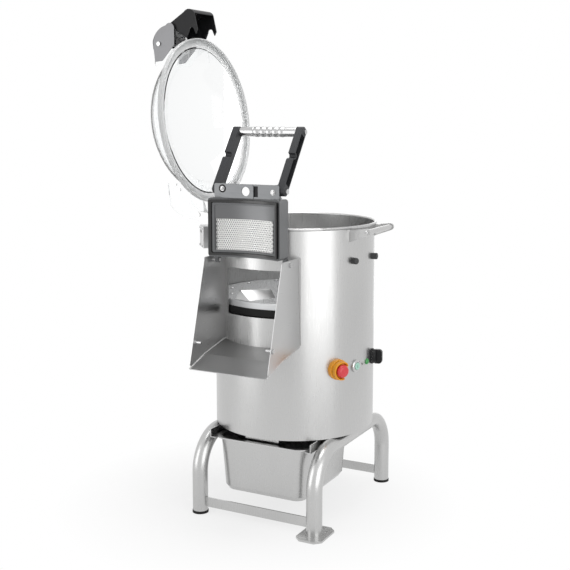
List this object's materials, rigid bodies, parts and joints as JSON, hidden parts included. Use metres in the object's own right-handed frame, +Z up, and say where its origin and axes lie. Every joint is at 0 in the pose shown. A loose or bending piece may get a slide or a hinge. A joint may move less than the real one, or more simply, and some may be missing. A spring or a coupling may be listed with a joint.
{
  "type": "electric potato peeler",
  "caption": "Floor-standing electric potato peeler: steel drum with spinning abrasive disc, hinged clear lid, curved discharge door with clamp handle, chute and peel pan on a tube frame.",
  "frame": {"origin": "on the floor under the middle of the whole machine as it stands with its lid and door open", "axes": "+Z up along the drum's axis, -Y out through the chute, +X towards the lid's latch rod and the controls"},
  "size_m": [0.7806, 0.7011, 1.5599],
  "materials": {
    "stainless": "brushed",
    "bolt_steel": "satin",
    "grit": "rough grit",
    "grater": "satin",
    "door_grey": "matt moulded",
    "bracket_grey": "satin",
    "black_paint": "matt",
    "plate_grey": "satin",
    "pale_rubber": "translucent silicone",
    "arm_grey": "satin",
    "grip_alu": "polished",
    "black_rubber": "matt",
    "clear_plastic": "clear",
    "black_plastic": "matt",
    "yellow_plastic": "gloss",
    "red_plastic": "gloss",
    "pale_plastic": "gloss",
    "green_plastic": "gloss",
    "pulley_iron": "machined",
    "motor_paint": "satin"
  },
  "bodies": {
    "machine": {"base_plate": "black_paint", "bearing_housing": "stainless", "cable_gland": "black_plastic", "chamber_floor": "stainless", "chute_floor": "stainless", "chute_sides": "stainless", "clear_lamp": "pale_plastic", "door_pivot_bolts": "bolt_steel", "drive_belt": "black_rubber", "drum_casing": "stainless", "drum_lugs": "stainless", "drum_saddles": "stainless", "estop_base": "yellow_plastic", "foot_caps": "black_rubber", "foot_plate": "stainless", "green_lamp": "green_plastic", "keeper_pins": "bolt_steel", "keeper_rod": "stainless", "lid_hinge_rod": "stainless", "motor": "motor_paint", "motor_plate": "stainless", "motor_standoffs": "stainless", "pan_rails": "stainless", "peel_duct": "stainless", "rubber_pegs": "black_rubber", "shaft_bearings": "bolt_steel", "shaft_seal": "black_rubber", "side_frame_left": "stainless", "side_frame_right": "stainless", "start_bezel": "bolt_steel", "stretchers": "stainless", "switch_box": "plate_grey", "timer_plate": "black_plastic"},
    "peel_pan": {"peel_pan": "stainless"},
    "disc": {"abrasive_disc": "grit", "disc_vanes": "grit", "disc_skirt": "black_rubber", "disc_fasteners": "bolt_steel", "drive_shaft": "bolt_steel", "driven_pulley": "pulley_iron"},
    "motor_rotor": {"motor_shaft": "bolt_steel", "motor_pulley": "pulley_iron"},
    "door": {"door_casting": "door_grey", "door_gasket": "black_rubber", "grater_sheet": "grater", "door_inner_plate": "door_grey", "door_bracket": "bracket_grey", "bracket_block": "black_plastic", "handle_bolts": "bolt_steel"},
    "handle": {"handle_arms": "arm_grey", "handle_grip": "grip_alu", "grip_rod": "bolt_steel"},
    "lid": {"lid_dome": "clear_plastic", "lid_gasket": "pale_rubber", "latch_plates": "plate_grey", "lid_bolts": "bolt_steel"},
    "latch_lever": {"latch_lever": "black_plastic"},
    "estop_button": {"estop_button": "red_plastic"},
    "start_button": {"start_button": "pale_plastic"},
    "timer_knob": {"timer_knob": "black_plastic"}
  },
  "joints": [
    {"name": "disc_spin", "type": "hinge", "parent": "machine", "child": "disc", "pos_m": [0.0948, 0.06248, 0.6], "axis": [0, 0, 1], "continuous": true},
    {"name": "motor_spin", "type": "hinge", "parent": "machine", "child": "motor_rotor", "pos_m": [0.0948, 0.21748, 0.5], "axis": [0, 0, 1], "continuous": true},
    {"name": "door_hinge", "type": "hinge", "parent": "machine", "child": "door", "pos_m": [0.0948, -0.21652, 0.802], "axis": [1, 0, 0], "range_deg": [0, 180]},
    {"name": "handle_pivot", "type": "hinge", "parent": "door", "child": "handle", "pos_m": [0.0948, -0.22152, 1.011], "axis": [1, 0, 0], "range_deg": [-50.31, 0]},
    {"name": "lid_hinge", "type": "hinge", "parent": "machine", "child": "lid", "pos_m": [-0.2042, 0.06248, 0.91], "axis": [0, 1, 0], "range_deg": [0, 96.5]},
    {"name": "latch_pivot", "type": "hinge", "parent": "lid", "child": "latch_lever", "pos_m": [-0.36474, 0.06248, 1.45332], "axis": [0, -1, 0], "range_deg": [0, 30], "stiffness_Nm_per_rad": 1.5, "springref_deg": -11.46},
    {"name": "pan_slide", "type": "slide", "parent": "machine", "child": "peel_pan", "axis": [0, -1, 0], "range_m": [0, 0.4]},
    {"name": "estop_push", "type": "slide", "parent": "machine", "child": "estop_button", "axis": [-0.8434, 0.5373, 0], "range_m": [0, 0.004]},
    {"name": "start_push", "type": "slide", "parent": "machine", "child": "start_button", "axis": [-0.9636, 0.2672, 0], "range_m": [0, 0.003], "stiffness_N_per_m": 800, "springref_m": -0.002},
    {"name": "timer_turn", "type": "hinge", "parent": "machine", "child": "timer_knob", "pos_m": [0.33978, 0.11232, 0.4795], "axis": [0.9799, 0.1994, 0], "range_deg": [0, 300]}
  ],
  "couplings": [
    {"joint": "motor_spin", "follows": "disc_spin", "ratio": 3.0382},
    {"joint": "handle_pivot", "follows": "door_hinge", "ratio": -0.27944},
    {"joint": "lid_hinge", "follows": "door_hinge", "ratio": 0.53611}
  ]
}
